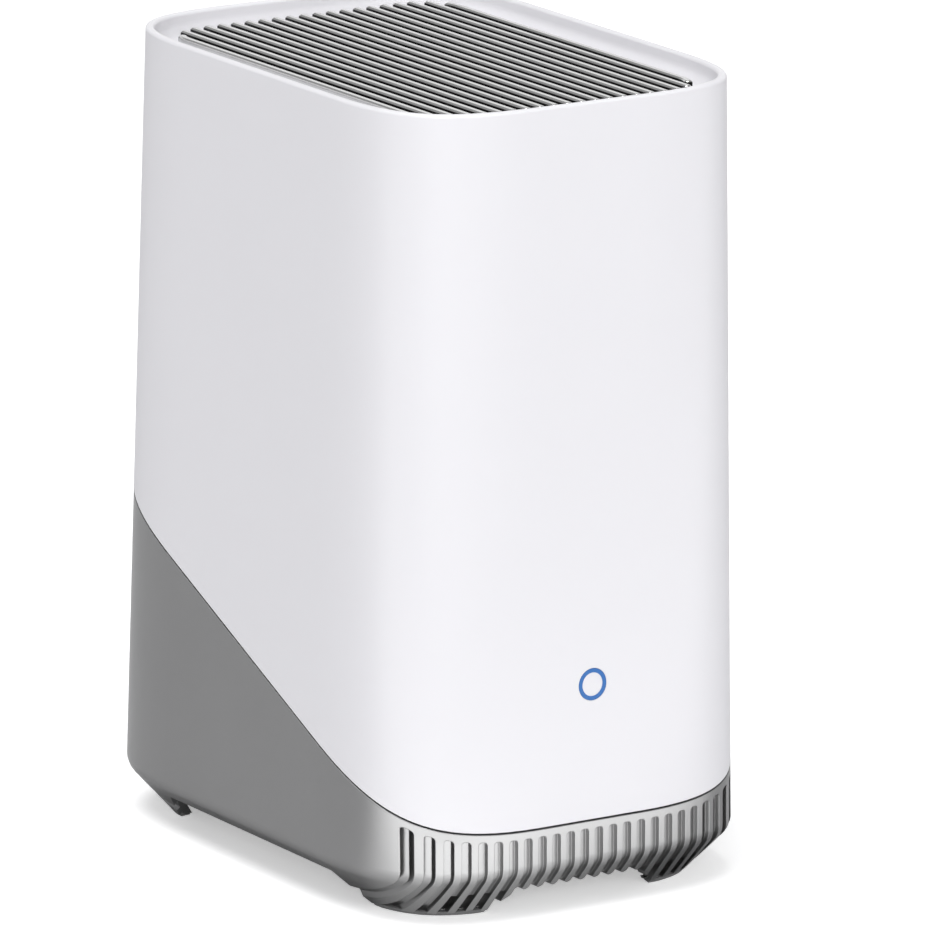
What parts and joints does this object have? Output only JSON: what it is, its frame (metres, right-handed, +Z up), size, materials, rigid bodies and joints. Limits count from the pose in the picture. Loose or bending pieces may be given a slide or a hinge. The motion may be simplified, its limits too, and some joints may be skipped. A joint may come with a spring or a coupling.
{
  "type": "security camera base station",
  "caption": "Upright free-standing base station with a white outer shell, slanted grey ribbed base, ribbed top grille and blue ring light on the front.",
  "frame": {"origin": "middle of the footprint, on the surface that the foot pads stand on", "axes": "+Z up, -Y the front with the ring light, +X to the right seen from the front"},
  "size_m": [0.1078, 0.1468, 0.197],
  "materials": {
    "white_shell": "satin white",
    "grey_housing": "satin metallic grey coat",
    "pad_rubber": "soft",
    "grille_grey": "satin metallic grey coat",
    "grey_plastic": "fine matt",
    "screw_steel": "plated",
    "steel_sheet": "zinc plated",
    "board_green": "solder mask",
    "black_plastic": "matt",
    "chip_black": "moulded",
    "pad_grey": "soft silicone",
    "sink_aluminium": "extruded",
    "can_aluminium": "drawn",
    "contact_brass": "gold plated",
    "light_blue": "lit translucent",
    "core_white": "satin white",
    "lamp_white": "clear",
    "magnet_grey": "plated",
    "cone_paper": "doped paper",
    "coil_copper": "enamelled copper"
  },
  "bodies": {
    "base": {"outer_shell": "white_shell", "base_housing": "grey_housing", "foot_pads": "pad_rubber", "top_grille": "grille_grey", "chassis": "steel_sheet", "antenna_front": "board_green", "antenna_rear": "board_green", "drive_cage": "steel_sheet", "cage_screws": "screw_steel", "sata_board": "board_green", "sata_socket": "black_plastic", "sata_screws": "screw_steel", "main_board": "board_green", "board_screws": "screw_steel", "processor": "chip_black", "thermal_pad": "pad_grey", "heat_sink": "sink_aluminium", "sink_pins": "black_plastic", "memory_chips": "chip_black", "radio_shield": "steel_sheet", "capacitors": "can_aluminium", "lan_jack": "black_plastic", "lan_contacts": "contact_brass", "usb_port": "steel_sheet", "usb_tongue": "black_plastic", "power_jack": "black_plastic", "power_pin": "contact_brass", "sync_switch": "steel_sheet", "reset_switch": "steel_sheet", "light_ring": "light_blue", "light_core": "core_white", "light_board": "board_green", "light_chip": "lamp_white", "light_screws": "screw_steel", "speaker_gasket": "pad_rubber", "speaker_basket": "steel_sheet", "speaker_magnet": "magnet_grey", "speaker_cone": "cone_paper", "speaker_screws": "screw_steel", "fan_frame": "black_plastic", "fan_stator": "coil_copper", "fan_screws": "screw_steel", "base_screws": "screw_steel"},
    "cover": {"bay_cover": "grey_plastic", "bay_screws": "screw_steel"},
    "button": {"sync_button": "grey_plastic", "sync_plunger": "black_plastic"},
    "reset": {"reset_plunger": "black_plastic"},
    "rotor": {"fan_rotor": "black_plastic"}
  },
  "joints": [
    {"name": "bay_cover_slide", "type": "slide", "parent": "base", "child": "cover", "axis": [0, 0, -1], "range_m": [0, 0.025]},
    {"name": "sync_button_press", "type": "slide", "parent": "base", "child": "button", "axis": [0, -1, 0], "range_m": [0, 0.0008], "stiffness_N_per_m": 1000, "springref_m": -0.0003},
    {"name": "reset_press", "type": "slide", "parent": "base", "child": "reset", "axis": [0, -1, 0], "range_m": [0, 0.0004], "stiffness_N_per_m": 1000, "springref_m": -0.0002},
    {"name": "fan_spin", "type": "hinge", "parent": "base", "child": "rotor", "pos_m": [0, 0, 0.1755], "axis": [0, 0, 1], "continuous": true}
  ]
}
